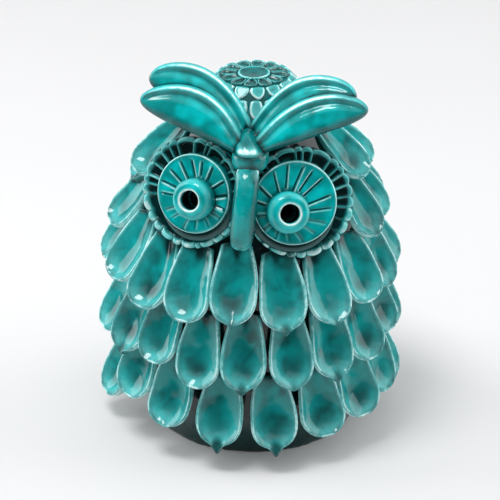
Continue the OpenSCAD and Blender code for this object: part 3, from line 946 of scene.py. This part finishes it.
for row in range(1, 6):
    feather_row(row)
for k, brow_name in enumerate(BROWS):
    brow(brow_name, 700 + k)
petals("crown_top_petals", 1.7, 1.5, 0.75, lambda out: np.array([0, 0, 1.0]), 800,
       puddle=0.8, widest=0.7, point=0.5, belly=0.1 * MM, cup=0.5 * MM, dish_share=0.2)
petals("crown_rim_petals", 2.3, 0.2, 1.1, lambda out: 0.8 * out + np.array([0, 0, 0.75]), 830,
       pale=0.25, widest=0.3, root_share=0.8, point=0.9, belly=0.1 * MM, cup=-0.3 * MM)
petals("crown_skirt_petals", 2.8, 0.2, 1.3, lambda out: 0.85 * out + np.array([0, 0, 0.5]), 860,
       pale=0.4, widest=0.5, root_share=0.7, point=0.5, belly=0.1 * MM, cup=-0.4 * MM)
for side in ("left", "right"):
    lump(f"socket_{side}", f"eye_socket_{side}", GLAZE, voxel=0.7, smooth_rounds=4, seed=11)
    eye = Eye(side)
    socket_ring(eye, 12 + eye.sign)
    lower_disc(eye, 3 + eye.sign)
    plate(eye, 31 + eye.sign)
    bead(eye, 14 + eye.sign)
# The low curvature limits paint a highlight along the beak's roll as pale thin glaze
lump("beak_roll", "beak", GLAZE, voxel=0.55, smooth_rounds=6, subdivide=2, seed=15,
     bright=(80, 330), deep=beak_side_shade)
knob()
# The cap shows only between the petals: painted shade there, with glaze pooled between them
lump("cap", "crown_cap", GLAZE, voxel=0.6, smooth_rounds=4, seed=17, deep=lambda p: 0.6)
lump("button", "crown_button", GLAZE, voxel=0.3, smooth_rounds=3, wobble=0.08, seed=18,
     deep=button_depth)
lump("pot", "body_shell", GLAZE, voxel=1.3, smooth_rounds=6, wobble=0.35, seed=19,
     deep=pot_glaze_and_shade)
lump("floor_slab", "base_plate", CLAY, voxel=0.9, smooth_rounds=1, seed=20)
lump("plug", "stopper", RUBBER, voxel=0.45, smooth_rounds=1, wobble=0.0,
     seed=21, body="stopper")
lump("plug_bar", "stopper_grip", RUBBER, voxel=0.2, smooth_rounds=2, wobble=0.0,
     seed=22, body="stopper")


CREVICE_REACH = 5.5 * MM
FINE_REACH = 1.5 * MM
RAYS = 5


def crevice_shade(pieces, fine_pieces):
    """Paints shade where neighbouring clay stands close, found by casting rays round each point, which also
    stands for glaze pooled in the creases; it takes the pale thin glaze and highlights out there too.
    """
    corners, faces, start = [], [], 0
    for obj in pieces:
        corners += read_points(obj.data).tolist()
        faces += [[i + start for i in face.vertices] for face in obj.data.polygons]
        start = len(corners)
    cast = BVHTree.FromPolygons(corners, faces).ray_cast
    for obj in pieces:
        reach = FINE_REACH if obj.name in fine_pieces else CREVICE_REACH
        points = read_points(obj.data)
        normals = read_vectors(obj.data, "normal")
        aside = np.cross(normals, [0.31, 0.17, 0.93])
        aside /= np.linalg.norm(aside, axis=1)[:, None].clip(1e-9)
        other = np.cross(normals, aside)
        pool = read_values(obj, "pool")
        open_points = np.flatnonzero(pool < 0.99)
        starts = (points + normals * 0.25 * MM)[open_points].tolist()
        closed = np.zeros(len(points))
        for k in range(RAYS):
            a = (k + 0.5) * 2 * math.pi / RAYS
            ways = 0.82 * (math.cos(a) * aside + math.sin(a) * other) + 0.57 * normals
            found = [cast(p, d, reach)[3] for p, d in zip(starts, ways[open_points].tolist())]
            closed[open_points] += [0.0 if gap is None else 1.0 - gap / reach for gap in found]
        closed /= RAYS
        pool = np.maximum(pool, 0.95 * smooth_step(0.12, 0.5, closed))
        thin = read_values(obj, "thin") * (1 - 0.8 * smooth_step(0.25, 0.6, closed))
        obj.data.attributes["pool"].data.foreach_set("value", pool.astype(np.float32))
        obj.data.attributes["thin"].data.foreach_set("value", thin.astype(np.float32))


crevice_shade([obj for obj in bpy.data.objects if obj.type == "MESH" and "pool" in obj.data.attributes
          and obj.name not in ("floor_slab", "plug", "plug_bar")],
         fine_pieces=("petals_crown_top_petals", "petals_crown_rim_petals",
                      "petals_crown_skirt_petals", "button", "rim_left", "rim_right"))


# ---------------------------------------------------------------- studio

def look_at(obj, target):
    obj.rotation_euler = (Vector(target) - obj.location).to_track_quat("-Z", "Y").to_euler()


def softbox(name, place, size, brightness):
    """A soft lamp; brightness is its glow as a multiple of white paper."""
    light = bpy.data.lights.new(name, "AREA")
    light.shape = "RECTANGLE"
    light.size, light.size_y = size
    light.energy = brightness * math.pi * size[0] * size[1]
    obj = bpy.data.objects.new(name, light)
    bpy.context.scene.collection.objects.link(obj)
    obj.location = place
    look_at(obj, (0, 0, 0.1))


def studio():
    """A pale sweep of paper with a faint glow of its own, soft lamps and a dim sky."""
    g = Graph("studio_floor")
    paper = g.mix(g.noise(0.4, 2.0), linear(212, 212, 213), linear(217, 217, 218))
    g.link(paper, g.shader.inputs["Base Color"])
    g.shader.inputs["Roughness"].default_value = 0.55
    g.shader.inputs["Emission Color"].default_value = (1.0, 1.0, 1.0, 1.0)
    g.shader.inputs["Emission Strength"].default_value = 0.09
    mesh = bpy.data.meshes.new("studio_floor")
    reach, back, radius, height = 2.6, 1.6, 0.7, 2.4
    outline = [(-reach, 0.0), (back, 0.0)]
    outline += [(back + radius * math.sin(a), radius * (1 - math.cos(a)))
                for a in np.linspace(0.1, math.pi / 2, 14)]
    outline.append((back + radius, height))
    points = [(x, y, z) for y, z in outline for x in (-reach, reach)]
    faces = [(2 * i, 2 * i + 1, 2 * i + 3, 2 * i + 2) for i in range(len(outline) - 1)]
    mesh.from_pydata(points, [], faces)
    mesh.polygons.foreach_set("use_smooth", [True] * len(mesh.polygons))
    mesh.materials.append(g.material)
    floor = bpy.data.objects.new("studio_floor", mesh)
    bpy.context.scene.collection.objects.link(floor)

    world = bpy.data.worlds.new("studio")
    bpy.context.scene.world = world
    world.use_nodes = True
    sky = world.node_tree.nodes["Background"]
    sky.inputs["Color"].default_value = (0.9, 0.95, 1.0, 1.0)
    sky.inputs["Strength"].default_value = 0.06
    softbox("lamp_top", (0.0, -0.1, 1.6), (3.6, 3.6), 0.68)
    softbox("lamp_key", (-0.3, -0.35, 1.4), (0.5, 0.45), 15.0)
    softbox("lamp_left", (-1.3, 0.2, 0.65), (1.0, 1.1), 3.5)
    softbox("lamp_right", (1.3, 0.35, 0.7), (1.4, 1.4), 2.3)


def camera():
    """Seen from a little to the right and well above, as the object was photographed."""
    azimuth, rise, distance = math.radians(6.5), math.radians(25.95), 1.3346
    target = Vector((0, 0, 0.0909))
    level = math.cos(rise)
    away = Vector((math.sin(azimuth) * level, -math.cos(azimuth) * level, math.sin(rise)))
    lens = bpy.data.cameras.new("camera")
    lens.lens = 184.8
    lens.sensor_width = 36
    lens.shift_x = -0.008
    obj = bpy.data.objects.new("camera", lens)
    bpy.context.scene.collection.objects.link(obj)
    obj.location = target + away * distance
    look_at(obj, target)
    bpy.context.scene.camera = obj


studio()
camera()
bpy.context.scene.view_settings.view_transform = "Standard"
